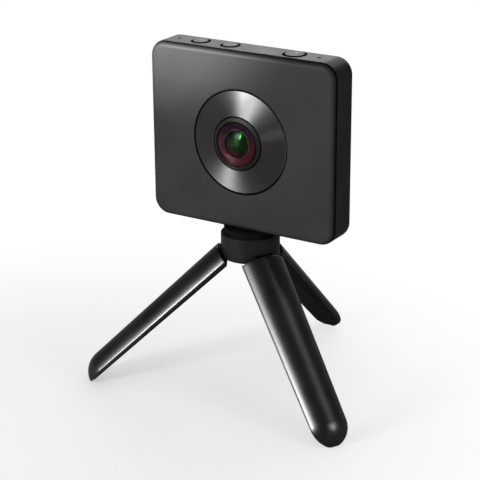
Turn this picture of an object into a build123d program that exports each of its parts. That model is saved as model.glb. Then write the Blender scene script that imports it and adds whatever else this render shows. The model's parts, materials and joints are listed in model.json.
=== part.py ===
from build123d import *
import os
from math import cos, radians, sin, sqrt

os.makedirs("parts", exist_ok=True)

# A pocket camera with a fisheye lens on each face, screwed onto a folding mini tripod.
# Millimetres, +Z up. The origin is on the floor, on the tripod's axis, and the front lens looks along -Y.
# A lens-side distance is measured outwards from the case's middle plane, the same on both faces.

# Camera case
case_width = 78.0
case_height = 67.4
case_depth = 14.0
case_corner = 6.2
case_edge = 2.2
cover_seam = 1.5
seam_gap = 0.35
seam_groove = 0.5
frame_wall = 1.6
lip_height = 1.3
lip_wall = 1.4
seal_height = 0.7
seal_depth = 0.5

# Clearances
seat_gap = 0.05
fit_gap = 0.1
moving_gap = 0.25
overrun = 1.0
wall_bite = 0.5

# Lens seat in each cover, and the trim ring on it
ring_radius = 19.5
ring_bore = 9.95
ring_rise = 1.9
ring_wall = 1.0
ring_bevel = 0.3
ring_foot = 1.0
ring_rim_foot = 2.6
seat_depth = 1.0
seat_floor = 1.2
seat_margin = 1.5
cover_bore = 10.6

# Retaining bezel and glass of each lens
bezel_radius = 9.7
bezel_bore = 8.55
bezel_rise = 0.7
bezel_lip = 0.6
bezel_skirt = 0.65
dome_rise = 5.0
dome_edge_drop = 0.15
dome_flange = 0.8
dome_cavity_radius = 5.7
dome_middle = 1.4

# Lens barrel, its inner glass, and the sensor behind it
barrel_bore = 7.3
barrel_step = 5.3
barrel_neck = 4.2
barrel_flange_radius = 12.9
barrel_flange = 1.25
second_glass_share = 0.32
third_glass_share = 0.24
crown_share = 0.17
filter_radius = 6.0
filter_thickness = 0.35
filter_depth = 1.2
sensor_width = 8.4
sensor_height = 7.0
sensor_thickness = 0.8
sensor_board_side = 17.6
board_thickness = 0.8
board_spacing = 1.0
chassis_radius = 17.4
chassis_bore = 13.1
chassis_rib = 1.5
cover_screw_count = 4
cover_screw_start_angle = 45

# Small screws
screw_shank = 0.8
screw_head = 1.5
screw_head_height = 0.8
screw_length = 4.0
screw_drive = 0.6
screw_drive_depth = 0.4

# Main circuit board on the left, as seen from the front
main_board_gap = 0.2
main_board_chassis_gap = 1.2
main_board_low = 4.0
main_board_high = 10.4
main_board_thickness = 1.0
block_width = 3.4
block_height = 8.0
block_inset = 2.2
shield_inset = 1.2
shield_seat_gap = 1.6
shield_height = 16.0
shield_rise = 4.3
shield_thickness = 1.4
shield_wall = 0.3
heat_sheet = 0.35
heat_sheet_gap = 0.15
heat_sheet_inset = 0.4
heat_sheet_height = 34.0
radio_inset = 5.2
radio_share = 0.5
radio_thickness = 1.6
radio_rise = 2.0

# Sockets and the memory card, which face left behind the port door
usb_width = 7.6
usb_thickness = 2.6
usb_length = 5.4
usb_wall = 0.3
usb_tongue = 0.6
usb_tongue_inset = 1.0
usb_drop = 7.7
card_width = 11.0
card_length_share = 0.87
card_thickness = 0.8
card_notch = 0.9
card_notch_length = 6.0
card_rise = 3.3
card_travel = 0.8
card_overhang = 0.9
card_socket_inset = 0.4
card_socket_wall = 0.4

# Port door in the left side
door_drop = 19.1
door_length = 31.0
door_thickness = 1.1
door_barrel = 1.05
door_corner = 1.2
door_pin = 0.4
door_pin_overhang = 0.65
door_notch = 1.2
door_notch_width = 4.0
door_notch_depth = 0.5
port_pad = 1.4
port_pad_margin = 2.4
port_seal_thickness = 0.35
port_seal_width = 0.6
port_seal_inset = 0.2
port_ledge = 1.1

# Buttons and microphones along the top
power_button_share = -0.536
mode_button_share = -0.208
shutter_button_share = 0.48
small_button = 2.9
large_button = 3.6
button_rise = 0.3
button_chamfer = 0.2
button_tab = 0.7
button_tab_height = 0.6
button_stem = 1.1
button_travel = 0.45
switch_side = 3.2
switch_height = 1.2
button_board_drop = 4.1
button_board_inset = 0.6
button_board_side_gap = 0.5
button_ledge = 3.4
button_ledge_height = 1.2
microphone_left_inset = 7.2
microphone_right_inset = 8.8
microphone_hole = 0.75
microphone_length = 3.2
microphone_width = 2.6
microphone_height = 1.1
boot_radius = 1.9

# Battery on the right, its leads, the aerial and the flexible links
battery_side_gap = 2.4
battery_low = 4.4
battery_high = 9.8
battery_corner = 1.5
lead_radius = 0.45
lead_bend = 0.8
lead_rise = 1.0
lead_spacing = 1.1
lead_inset = 3.4
lead_tail = 2.0
aerial_width = 4.0
aerial_height = 40.0
aerial_thickness = 0.25
link_thickness = 0.15
link_width = 2.7
link_middle = 1.7
link_drop = 6.0
link_start = 5.0
link_jog = 1.6
link_tail = 3.0
link_window = 0.8
link_window_half = 3.4
button_link_inset = 6.3
button_link_width = 5.0

# Threaded bush in the bottom, and the tripod's screw in it
stud_radius = 3.1
stud_reach = 5.0
bush_spigot = 3.8
bush_recess = 0.2
bush_length = 12.0
bush_side_gap = 0.2
bush_height = 4.4
bush_wall = 2.0

# Tripod head
head_radius = 11.1
head_height = 9.45
head_top_chamfer = 0.35
head_low_chamfer = 0.5
pad_radius = 9.9
pad_thickness = 2.4
turn_gap = 0.1
stud_flange_radius = 7.0
stud_flange = 1.0
stud_flange_cover = 0.2
stud_spigot = 2.2
base_radius = 9.2
base_recess = 0.1
base_screw_head = 1.9
base_screw_head_height = 1.2
base_screw_shank = 1.2
base_screw_length = 5.0

# Leg hinges
leg_names = ("back", "left", "right")
leg_count = len(leg_names)
leg_start_angle = 90
hinge_radius = 6.5
hinge_drop = 3.8
pin_radius = 1.0
pin_length = 13.2
eye_radius = 2.5
eye_width = 5.8
neck_outer = 1.5
neck_inner = 2.4
washer_radius = 2.2
washer_thickness = 0.5
slot_inner = 3.7
slot_outer = 9.5
slot_window_drop = 0.4

# Legs, measured from the hinge along the stick that they make when folded
leg_spread_angle = 47.4
leg_half_angle = 58.2
leg_top_radius = 10.5
leg_tip_radius = 9.1
leg_flat = 2.9
leg_top_drop = 4.65
leg_dome_centre = 70.7
leg_wall = 1.4
leg_mouth_wall = 0.6
leg_mouth_depth = 1.6
leg_core_recess_angle = 0.8
leg_core_drop = 1.7
leg_core_floor = 1.5
leg_cavity_width = 10.0
leg_plug = 5.0
foot_trim = 0.25

leg_azimuths = [leg_start_angle + 360 * index / leg_count for index in range(leg_count)]

# Heights that follow
leg_end = leg_dome_centre + sqrt(leg_tip_radius**2 - leg_flat**2)
hinge_height = (
    (hinge_radius - leg_flat) * sin(radians(leg_spread_angle))
    + leg_end * cos(radians(leg_spread_angle))
    - foot_trim
)
head_bottom = hinge_height - hinge_drop
head_top = head_bottom + head_height
pad_top = head_top + pad_thickness
case_bottom = pad_top + turn_gap
case_top = case_bottom + case_height
case_middle = case_bottom + case_height / 2
inside_half_width = case_width / 2 - frame_wall
inside_top = case_top - frame_wall
inside_bottom = case_bottom + frame_wall

# Distances from the middle plane that follow
case_face = case_depth / 2
cover_base = case_face - cover_seam
seat = case_face - seat_depth
seat_back = seat - seat_floor
frame_half = cover_base - seam_gap
lip_clear = cover_base - lip_height - fit_gap
seal_base = cover_base - lip_height / 2 - seal_height / 2
bezel_base = case_face + ring_rise
bezel_top = bezel_base + bezel_rise
dome_seat = bezel_top - bezel_lip
dome_base = dome_seat - dome_flange
dome_edge = bezel_top - dome_edge_drop
dome_apex = case_face + dome_rise
dome_radius = bezel_bore - fit_gap
dome_flange_radius = bezel_radius - bezel_skirt - fit_gap
board_back = board_spacing / 2
board_face = board_back + board_thickness
flange_base = board_face + seat_gap
flange_top = flange_base + barrel_flange
filter_seat = board_face + filter_depth + filter_thickness
glass_room = dome_base - filter_seat
second_glass = glass_room * second_glass_share
third_glass = glass_room * third_glass_share
glass_crown = glass_room * crown_share
second_seat = dome_base - second_glass - glass_crown
third_seat = second_seat - third_glass - glass_crown
screw_circle = (chassis_radius + chassis_bore) / 2
main_board_front = cover_base - heat_sheet_gap - heat_sheet - shield_thickness
board_rear = main_board_thickness - main_board_front
battery_thickness = 2 * (seat_back - fit_gap)
door_width = 2 * (lip_clear - moving_gap - seat_gap)
button_board_width = 2 * (lip_clear - button_board_side_gap)
bush_width = 2 * (frame_half - bush_side_gap)
link_level = case_middle - link_drop

# Heights along the top that follow
button_board_top = inside_top - button_board_drop
button_board_base = button_board_top - board_thickness
tab_base = inside_top - seat_gap - button_tab_height
stem_end = button_board_top + switch_height + button_travel + fit_gap
button_places = (
    ("power_button", power_button_share * case_width / 2, small_button),
    ("mode_button", mode_button_share * case_width / 2, small_button),
    ("shutter_button", shutter_button_share * case_width / 2, large_button),
)
microphone_places = (
    (microphone_left_inset - inside_half_width, 0),
    (inside_half_width - microphone_right_inset, 0),
)
button_board_length = 2 * (inside_half_width - button_board_inset)

# Places on the main board and in the left side that follow
board_low = case_bottom + main_board_low
board_high = case_top - main_board_high
main_board_left = inside_half_width - port_pad - main_board_gap
main_board_right = chassis_radius + main_board_chassis_gap
main_board_width = main_board_left - main_board_right
board_middle_x = -(main_board_left + main_board_right) / 2
board_screw_x = -main_board_left + block_width / 2
board_screw_places = (
    (board_screw_x, board_low + block_height / 2),
    (board_screw_x, board_high - block_width / 2),
)
usb_z = case_middle - usb_drop
card_z = case_middle + card_rise
card_back = board_rear + card_socket_wall + fit_gap
card_reach = main_board_left + card_overhang
card_end = main_board_width * card_length_share - card_reach
card_socket_left = main_board_left - card_socket_inset
radio_side = main_board_width * radio_share
battery_left = chassis_radius + main_board_chassis_gap
battery_width = inside_half_width - battery_side_gap - battery_left
battery_top = case_top - battery_high
door_bottom = case_middle - door_drop
door_top = door_bottom + door_length
door_inside = door_thickness - case_width / 2
pin_x = door_barrel - case_width / 2
pin_z = door_bottom + door_barrel
port_floor = door_inside + port_seal_thickness + seat_gap
port_window_low = door_bottom + 2 * door_barrel + port_ledge
port_window_high = door_top - port_ledge
port_window_half = door_width / 2 - port_ledge

# Places in the tripod head that follow
slot_half = eye_width / 2 + fit_gap + washer_thickness
slot_roof = hinge_height + eye_radius + moving_gap
base_top = hinge_height - pin_radius - seat_gap
flange_top_z = head_top - stud_flange_cover
core_top = leg_top_drop + leg_core_drop


def write(piece, name):
    """Label a finished piece and save it."""
    piece.part.label = name
    export_step(piece.part, f"parts/{name}.step")


def face_plane(side, distance):
    """A plane across the lens axis that looks outwards on the front (-1) or rear (+1) face."""
    return Plane(origin=(0, side * distance, case_middle), x_dir=(-side, 0, 0), z_dir=(0, side, 0))


def lens_section(side):
    """A plane along the lens axis: x is the radius and y the distance from the middle plane."""
    return Plane(origin=(0, 0, case_middle), x_dir=(1, 0, 0), z_dir=(0, 0, side))


def left_plane(x, z):
    """A plane that looks outwards from the camera's left side, with y up."""
    return Plane(origin=(x, 0, z), x_dir=(0, -1, 0), z_dir=(-1, 0, 0))


def across(x, z):
    """An upright plane that looks along +Y, with its origin in the camera's middle plane."""
    return Plane(origin=(x, 0, z), x_dir=(-1, 0, 0), z_dir=(0, 1, 0))


def case_outline(inset, mode=Mode.ADD):
    """The case's rounded rectangle, drawn in by a wall or a gap."""
    RectangleRounded(
        case_width - 2 * inset,
        case_height - 2 * inset,
        case_corner - inset,
        mode=mode,
    )


def door_outline(gap):
    """The port door's outline about its own middle, with a gap round it and its upper corners rounded."""
    Rectangle(door_width + 2 * gap, door_length + 2 * gap)
    fillet(vertices().group_by(Axis.Y)[-1], door_corner + gap)


def block(corner, opposite, mode=Mode.ADD):
    """A box between two opposite corners."""
    size = [abs(b - a) for a, b in zip(corner, opposite)]
    middle = tuple((a + b) / 2 for a, b in zip(corner, opposite))
    with Locations(middle):
        Box(*size, mode=mode)


def cap_middle(rim, base, rise):
    """A point halfway up a spherical cap's section, from its rim at base to its pole."""
    radius = (rim**2 + rise**2) / (2 * rise)
    return (rim / 2, base + rise - radius + sqrt(radius**2 - rim**2 / 4))


def stick_plane(azimuth, turn):
    """A plane through the axis of a spread leg's stick: x outwards from the axis and y up the leg.

    It is turned about that axis away from the leg's middle. Its origin is level with the hinge.
    """
    slope = radians(leg_spread_angle)
    up = Vector(-sin(slope), 0, cos(slope)).rotate(Axis.Z, azimuth)
    out = Vector(cos(slope), 0, sin(slope)).rotate(Axis.Z, azimuth)
    hinge = Vector(hinge_radius, 0, hinge_height).rotate(Axis.Z, azimuth)
    turned = out.rotate(Axis((0, 0, 0), up), turn)
    return Plane(origin=hinge - out * hinge_radius, x_dir=turned, z_dir=turned.cross(up))


def leg_blank(azimuth, turn, top, inset):
    """A wedge of the folded stick: a cone with a domed tip, set in from the surface."""
    start = stick_plane(azimuth, -turn)
    taper = (leg_top_radius - leg_tip_radius) / (leg_dome_centre - leg_top_drop)
    tip = leg_tip_radius - inset
    with BuildSketch(start) as wedge:
        with BuildLine():
            Polyline(
                (0, -leg_dome_centre - tip),
                (0, -top),
                (tip + taper * (leg_dome_centre - top), -top),
                (tip, -leg_dome_centre),
            )
            RadiusArc((tip, -leg_dome_centre), (0, -leg_dome_centre - tip), tip)
        make_face()
    revolve(wedge.sketch, axis=Axis(start.origin, start.y_dir), revolution_arc=2 * turn)


def trim_leg(azimuth):
    """Cut a leg to the flat inner face, and take the sharp tip off on the floor."""
    middle = stick_plane(azimuth, 0)
    flat = Plane(
        origin=middle.origin + middle.x_dir * leg_flat,
        x_dir=middle.y_dir,
        z_dir=middle.x_dir,
    )
    split(bisect_by=flat, keep=Keep.TOP)
    split(bisect_by=Plane.XY, keep=Keep.TOP)


lens_axis = Axis((0, 0, case_middle), (0, 1, 0))

# Room that the covers' lips and seals leave for the bush
bush_room_half = bush_length / 2 + bush_wall + moving_gap
bush_room = (
    (-bush_room_half, -cover_base, inside_bottom - seat_gap),
    (bush_room_half, cover_base, inside_bottom + bush_height + moving_gap),
)

# Rounded block that the covers and the frame are cut from
with BuildPart() as envelope:
    with BuildSketch(face_plane(1, 0)):
        case_outline(0)
    extrude(amount=case_face, both=True)
    faces_out = envelope.faces().sort_by(Axis.Y)
    fillet(faces_out[0].edges() + faces_out[-1].edges(), case_edge)

for name, side in (("front", -1), ("rear", 1)):
    # Cover with a lip inside the frame, a groove for the seal, and a seat for the trim ring
    with BuildPart() as cover:
        add(envelope.part)
        split(bisect_by=face_plane(side, cover_base), keep=Keep.TOP)
        with BuildSketch(face_plane(side, cover_base - lip_height)):
            case_outline(frame_wall + fit_gap)
            case_outline(frame_wall + fit_gap + lip_wall, mode=Mode.SUBTRACT)
        extrude(amount=lip_height)
        with BuildSketch(face_plane(side, seat_back)):
            Circle(ring_radius + seat_margin)
        extrude(amount=cover_base - seat_back)
        with BuildSketch(face_plane(side, seat)):
            Circle(ring_radius + moving_gap)
        extrude(amount=case_face, mode=Mode.SUBTRACT)
        with BuildSketch(face_plane(side, seat_back)):
            Circle(cover_bore)
        extrude(amount=case_face, mode=Mode.SUBTRACT)
        with BuildSketch(face_plane(side, seal_base)):
            case_outline(frame_wall)
            case_outline(frame_wall + fit_gap + seal_depth, mode=Mode.SUBTRACT)
        extrude(amount=seal_height, mode=Mode.SUBTRACT)
        with Locations(face_plane(side, seat)):
            with PolarLocations(screw_circle, cover_screw_count, cover_screw_start_angle):
                CounterBoreHole(
                    screw_shank + fit_gap, screw_head + fit_gap, screw_head_height, 2 * seat_floor
                )
        block(*bush_room, mode=Mode.SUBTRACT)
    write(cover, f"{name}_cover")

    with BuildPart() as seal:
        with BuildSketch(face_plane(side, seal_base + seat_gap)):
            case_outline(frame_wall + seat_gap)
            case_outline(frame_wall + seal_depth, mode=Mode.SUBTRACT)
        extrude(amount=seal_height - 2 * seat_gap)
        block(*bush_room, mode=Mode.SUBTRACT)
    write(seal, f"{name}_seal")

    # Screws under the trim ring, which pull the cover onto the chassis
    with BuildPart() as screws:
        with BuildSketch(face_plane(side, seat - screw_head_height)):
            with PolarLocations(screw_circle, cover_screw_count, cover_screw_start_angle):
                Circle(screw_head)
        extrude(amount=screw_head_height)
        with BuildSketch(face_plane(side, seat - screw_head_height)):
            with PolarLocations(screw_circle, cover_screw_count, cover_screw_start_angle):
                Circle(screw_shank)
        extrude(amount=-screw_length)
        with BuildSketch(face_plane(side, seat - screw_drive_depth)):
            with PolarLocations(screw_circle, cover_screw_count, cover_screw_start_angle):
                RegularPolygon(screw_drive, 6)
        extrude(amount=screw_head_height, mode=Mode.SUBTRACT)
    write(screws, f"{name}_cover_screws")

    # Conical trim ring with a bevelled rim, hollow over the screw heads
    with BuildPart() as ring:
        with BuildSketch(lens_section(side)):
            with BuildLine():
                cone_foot = ring_radius - ring_bevel
                cone_slope = ring_rise / (cone_foot - ring_bore)
                hollow_rim = ring_radius - ring_rim_foot
                hollow_bore = ring_bore + ring_foot
                Polyline(
                    (ring_bore, seat),
                    (ring_bore, bezel_base),
                    (cone_foot, case_face),
                    (ring_radius, case_face - ring_bevel),
                    (ring_radius, seat),
                    (hollow_rim, seat),
                    (hollow_rim, case_face + cone_slope * (cone_foot - hollow_rim) - ring_wall),
                    (hollow_bore, case_face + cone_slope * (cone_foot - hollow_bore) - ring_wall),
                    (hollow_bore, seat),
                    close=True,
                )
            make_face()
        revolve(axis=lens_axis)
    write(ring, f"{name}_lens_ring")

    # Bezel that screws over the barrel and holds the dome's flange
    with BuildPart() as bezel:
        with BuildSketch(lens_section(side)):
            with BuildLine():
                skirt_bore = bezel_radius - bezel_skirt
                Polyline(
                    (skirt_bore, seat_back),
                    (bezel_radius, seat_back),
                    (bezel_radius, bezel_base),
                    (bezel_bore, bezel_top),
                    (bezel_bore, dome_seat),
                    (skirt_bore, dome_seat),
                    close=True,
                )
            make_face()
        revolve(axis=lens_axis)
    write(bezel, f"{name}_lens_bezel")

    # Domed front glass, hollowed behind
    with BuildPart() as dome:
        with BuildSketch(lens_section(side)):
            with BuildLine():
                cavity_roof = dome_apex - dome_middle
                Line((0, cavity_roof), (0, dome_apex))
                ThreePointArc(
                    (0, dome_apex),
                    cap_middle(dome_radius, dome_edge, dome_apex - dome_edge),
                    (dome_radius, dome_edge),
                )
                Polyline(
                    (dome_radius, dome_edge),
                    (dome_radius, dome_seat - seat_gap),
                    (dome_flange_radius, dome_seat - seat_gap),
                    (dome_flange_radius, dome_base),
                    (dome_cavity_radius, dome_base),
                )
                ThreePointArc(
                    (dome_cavity_radius, dome_base),
                    cap_middle(dome_cavity_radius, dome_base, cavity_roof - dome_base),
                    (0, cavity_roof),
                )
            make_face()
        revolve(axis=lens_axis)
    write(dome, f"{name}_dome")

    # Barrel: a stepped tube on a flange in front of the sensor board
    with BuildPart() as barrel:
        with BuildSketch(lens_section(side)):
            with BuildLine():
                Polyline(
                    (filter_radius + fit_gap, flange_base),
                    (barrel_flange_radius, flange_base),
                    (barrel_flange_radius, flange_top),
                    (dome_flange_radius, flange_top),
                    (dome_flange_radius, dome_base),
                    (barrel_bore, dome_base),
                    (barrel_bore, second_seat),
                    (barrel_step, second_seat),
                    (barrel_step, third_seat),
                    (barrel_neck, third_seat),
                    (barrel_neck, filter_seat),
                    (filter_radius + fit_gap, filter_seat),
                    close=True,
                )
            make_face()
        revolve(axis=lens_axis)
    write(barrel, f"{name}_lens_barrel")

    # Second and third glass, each with a crowned front, and the flat filter
    with BuildPart() as elements:
        for base, radius, edge in (
            (second_seat, barrel_bore - seat_gap, second_glass),
            (third_seat, barrel_step - seat_gap, third_glass),
        ):
            crown = glass_crown - seat_gap
            with BuildSketch(lens_section(side)):
                with BuildLine():
                    Polyline(
                        (0, base + edge + crown),
                        (0, base),
                        (radius, base),
                        (radius, base + edge),
                    )
                    ThreePointArc(
                        (radius, base + edge),
                        cap_middle(radius, base + edge, crown),
                        (0, base + edge + crown),
                    )
                make_face()
            revolve(axis=lens_axis)
        with BuildSketch(face_plane(side, filter_seat - filter_thickness)):
            Circle(filter_radius)
        extrude(amount=filter_thickness)
    write(elements, f"{name}_lens_elements")

    with BuildPart() as sensor:
        with BuildSketch(face_plane(side, board_face)):
            Rectangle(sensor_width, sensor_height)
        extrude(amount=sensor_thickness)
    write(sensor, f"{name}_sensor")

    with BuildPart() as sensor_board:
        with BuildSketch(face_plane(side, board_back)):
            Rectangle(sensor_board_side, sensor_board_side)
        extrude(amount=board_thickness)
    write(sensor_board, f"{name}_sensor_board")

    # Flexible link from the sensor board's back, through the chassis, to the main board
    with BuildPart() as sensor_link:
        with BuildSketch(Plane.XY.offset(link_level - side * link_middle - link_width / 2)):
            with BuildLine():
                from_board = side * (board_back - link_thickness / 2)
                to_board = board_rear + link_thickness / 2
                Polyline(
                    (-link_start, from_board),
                    (-chassis_radius - fit_gap, from_board),
                    (-main_board_right - link_jog, to_board),
                    (-main_board_right - link_jog - link_tail, to_board),
                )
            trace(line_width=link_thickness)
        extrude(amount=link_width)
    write(sensor_link, f"{name}_sensor_link")

# Round chassis that carries both lens modules and takes the cover screws
with BuildPart() as chassis:
    for radius, bore, half in (
        (chassis_radius, chassis_bore, seat_back - seat_gap),
        (chassis_bore + fit_gap, chassis_bore - chassis_rib, board_back - seat_gap),
    ):
        with BuildSketch(face_plane(1, 0)):
            Circle(radius)
            Circle(bore, mode=Mode.SUBTRACT)
        extrude(amount=half, both=True)
    for side in (-1, 1):
        with BuildSketch(face_plane(side, seat_back)):
            with PolarLocations(screw_circle, cover_screw_count, cover_screw_start_angle):
                Circle(screw_shank + seat_gap)
        extrude(amount=-screw_length, mode=Mode.SUBTRACT)
    block(
        (-chassis_radius - overrun, -link_window, link_level - link_window_half),
        (-link_start, link_window, link_level + link_window_half),
        mode=Mode.SUBTRACT,
    )
write(chassis, "lens_chassis")

# Frame between the covers: the sides of the case, what they hold, and their openings
with BuildPart() as frame:
    add(envelope.part)
    for side in (-1, 1):
        split(bisect_by=face_plane(side, cover_base - seat_gap), keep=Keep.BOTTOM)
        with BuildSketch(face_plane(side, frame_half)):
            Rectangle(case_width + overrun, case_height + overrun)
            case_outline(seam_groove, mode=Mode.SUBTRACT)
        extrude(amount=seam_gap, mode=Mode.SUBTRACT)
    with BuildSketch(face_plane(1, 0)):
        case_outline(frame_wall)
    extrude(amount=case_face, both=True, mode=Mode.SUBTRACT)
    for side in (-1, 1):
        # Wall beside the bush's plate, and ledge under the button board
        block(
            (side * (bush_length / 2 + seat_gap), -bush_width / 2, inside_bottom - wall_bite),
            (
                side * (bush_length / 2 + seat_gap + bush_wall),
                bush_width / 2,
                inside_bottom + bush_height,
            ),
        )
        block(
            (
                side * (inside_half_width + wall_bite),
                -button_board_width / 2,
                button_board_base - button_ledge_height,
            ),
            (side * (inside_half_width - button_ledge), button_board_width / 2, button_board_base),
        )
    # Blocks behind the main board's left edge
    for low, high in (
        (board_low, board_low + block_height),
        (board_high - block_width, board_high),
    ):
        block(
            (-inside_half_width - wall_bite, board_rear, low),
            (block_width - main_board_left, lip_clear - block_inset, high),
        )
    # Thicker wall round the port, then the door's recess, hinge groove and window in it
    block(
        (-inside_half_width - wall_bite, -lip_clear, door_bottom - port_pad_margin),
        (port_pad - inside_half_width, lip_clear, door_top + port_pad_margin),
    )
    with BuildSketch(left_plane(port_floor, (door_bottom + door_top) / 2)):
        door_outline(moving_gap)
    extrude(amount=case_depth, mode=Mode.SUBTRACT)
    with BuildSketch(across(pin_x, pin_z)):
        Circle(door_barrel + moving_gap)
    extrude(amount=door_width / 2 + moving_gap, both=True, mode=Mode.SUBTRACT)
    with BuildSketch(across(pin_x, pin_z)):
        Circle(door_pin + seat_gap)
    extrude(amount=door_width / 2 + door_pin_overhang, both=True, mode=Mode.SUBTRACT)
    block(
        (port_floor - seat_gap, -port_window_half, port_window_low),
        (overrun - inside_half_width + port_pad, port_window_half, port_window_high),
        mode=Mode.SUBTRACT,
    )
    for x, z in board_screw_places:
        with BuildSketch(across(x, z).offset(board_rear)):
            Circle(screw_shank + seat_gap)
        extrude(amount=screw_length, mode=Mode.SUBTRACT)
    # Holes for the buttons, the microphones and the bush
    for _, x, radius in button_places:
        with BuildSketch(Plane.XY.offset(inside_top - overrun)):
            with Locations((x, 0)):
                Circle(radius + moving_gap)
        extrude(amount=frame_wall + 2 * overrun, mode=Mode.SUBTRACT)
    with BuildSketch(Plane.XY.offset(inside_top - overrun)):
        with Locations(*microphone_places):
            Circle(microphone_hole)
    extrude(amount=frame_wall + 2 * overrun, mode=Mode.SUBTRACT)
    with BuildSketch(Plane.XY.offset(case_bottom - overrun)):
        Circle(bush_spigot + seat_gap)
    extrude(amount=frame_wall + 2 * overrun, mode=Mode.SUBTRACT)
write(frame, "mid_frame")

# Threaded bush: a plate inside the bottom wall, with a spigot through it
with BuildPart() as bush:
    with BuildSketch(Plane.XY.offset(inside_bottom)):
        Rectangle(bush_length, bush_width)
    extrude(amount=bush_height)
    with BuildSketch(Plane.XY.offset(case_bottom + bush_recess)):
        Circle(bush_spigot)
    extrude(amount=frame_wall)
    with BuildSketch(Plane.XY.offset(case_bottom)):
        Circle(stud_radius + fit_gap)
    extrude(amount=case_depth, mode=Mode.SUBTRACT)
write(bush, "tripod_bush")

# Buttons: a cap through the wall, tabs under it and a stem above the switch
for name, x, radius in button_places:
    with BuildPart() as button:
        with BuildSketch(Plane.XY.offset(tab_base + button_tab_height)):
            with Locations((x, 0)):
                Circle(radius)
        extrude(amount=case_top + button_rise - tab_base - button_tab_height)
        chamfer(button.faces().sort_by(Axis.Z)[-1].edges(), button_chamfer)
        with BuildSketch(Plane.XY.offset(tab_base)):
            with Locations((x, 0)):
                Rectangle(2 * (radius + button_tab), radius)
        extrude(amount=button_tab_height)
        with BuildSketch(Plane.XY.offset(stem_end)):
            with Locations((x, 0)):
                Circle(button_stem)
        extrude(amount=tab_base - stem_end)
    write(button, name)

with BuildPart() as button_board:
    with BuildSketch(Plane.XY.offset(button_board_base)):
        Rectangle(button_board_length, button_board_width)
    extrude(amount=board_thickness)
write(button_board, "button_board")

with BuildPart() as switches:
    with BuildSketch(Plane.XY.offset(button_board_top)):
        for _, x, _ in button_places:
            with Locations((x, 0)):
                Rectangle(switch_side, switch_side)
    extrude(amount=switch_height)
write(switches, "button_switches")

with BuildPart() as microphones:
    with BuildSketch(Plane.XY.offset(button_board_top)):
        with Locations(*microphone_places):
            Rectangle(microphone_length, microphone_width)
    extrude(amount=microphone_height)
write(microphones, "microphones")

# Soft tubes from the microphones up to their holes
with BuildPart() as boots:
    boot_base = button_board_top + microphone_height
    with BuildSketch(Plane.XY.offset(boot_base)):
        with Locations(*microphone_places):
            Circle(boot_radius)
        with Locations(*microphone_places):
            Circle(microphone_hole, mode=Mode.SUBTRACT)
    extrude(amount=inside_top - seat_gap - boot_base)
write(boots, "microphone_boots")

# Flexible link from the main board up to the underside of the button board
with BuildPart() as button_link:
    with BuildSketch(Plane.YZ.offset(button_link_inset - main_board_left)):
        with BuildLine():
            Polyline(
                (board_rear + link_thickness / 2, board_high - link_tail),
                (board_rear + link_thickness / 2, button_board_base - link_thickness / 2),
                (board_rear + link_tail, button_board_base - link_thickness / 2),
            )
        trace(line_width=link_thickness)
    extrude(amount=button_link_width)
write(button_link, "button_link")

# Main board, and what is fixed to it
with BuildPart() as main_board:
    with BuildSketch(across(board_middle_x, (board_low + board_high) / 2).offset(-main_board_front)):
        Rectangle(main_board_width, board_high - board_low)
    extrude(amount=main_board_thickness)
    for x, z in board_screw_places:
        with BuildSketch(across(x, z).offset(-main_board_front)):
            Circle(screw_shank + fit_gap)
        extrude(amount=main_board_thickness, mode=Mode.SUBTRACT)
write(main_board, "main_board")

with BuildPart() as board_screws:
    for x, z in board_screw_places:
        with BuildSketch(across(x, z).offset(-main_board_front)):
            Circle(screw_head)
        extrude(amount=-screw_head_height)
        with BuildSketch(across(x, z).offset(-main_board_front)):
            Circle(screw_shank)
        extrude(amount=screw_length)
        with BuildSketch(across(x, z).offset(-main_board_front - screw_head_height)):
            RegularPolygon(screw_drive, 6)
        extrude(amount=screw_drive_depth, mode=Mode.SUBTRACT)
write(board_screws, "board_screws")

with BuildPart() as shield:
    shield_low = case_middle + shield_rise - shield_height / 2
    shield_left = main_board_left - shield_inset
    shield_right = ring_radius + seat_margin + shield_seat_gap
    block(
        (-shield_left, -main_board_front, shield_low),
        (-shield_right, -main_board_front - shield_thickness, shield_low + shield_height),
    )
    block(
        (shield_wall - shield_left, -main_board_front, shield_low + shield_wall),
        (
            -shield_wall - shield_right,
            shield_wall - main_board_front - shield_thickness,
            shield_low + shield_height - shield_wall,
        ),
        mode=Mode.SUBTRACT,
    )
write(shield, "processor_shield")

with BuildPart() as heat_spreader:
    sheet_low = (board_low + board_high - heat_sheet_height) / 2
    sheet_rear = -main_board_front - shield_thickness
    block(
        (heat_sheet_inset - main_board_left, sheet_rear, sheet_low),
        (
            -ring_radius - seat_margin - heat_sheet_inset,
            sheet_rear - heat_sheet,
            sheet_low + heat_sheet_height,
        ),
    )
write(heat_spreader, "heat_spreader")

with BuildPart() as radio:
    block(
        (radio_inset - main_board_left, board_rear, board_low + radio_rise),
        (
            radio_inset + radio_side - main_board_left,
            board_rear + radio_thickness,
            board_low + radio_rise + radio_side,
        ),
    )
write(radio, "wireless_module")

with BuildPart() as aerial:
    block(
        (inside_half_width - seat_gap, -aerial_width / 2, case_middle - aerial_height / 2),
        (
            inside_half_width - seat_gap - aerial_thickness,
            aerial_width / 2,
            case_middle + aerial_height / 2,
        ),
    )
write(aerial, "aerial")

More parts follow.
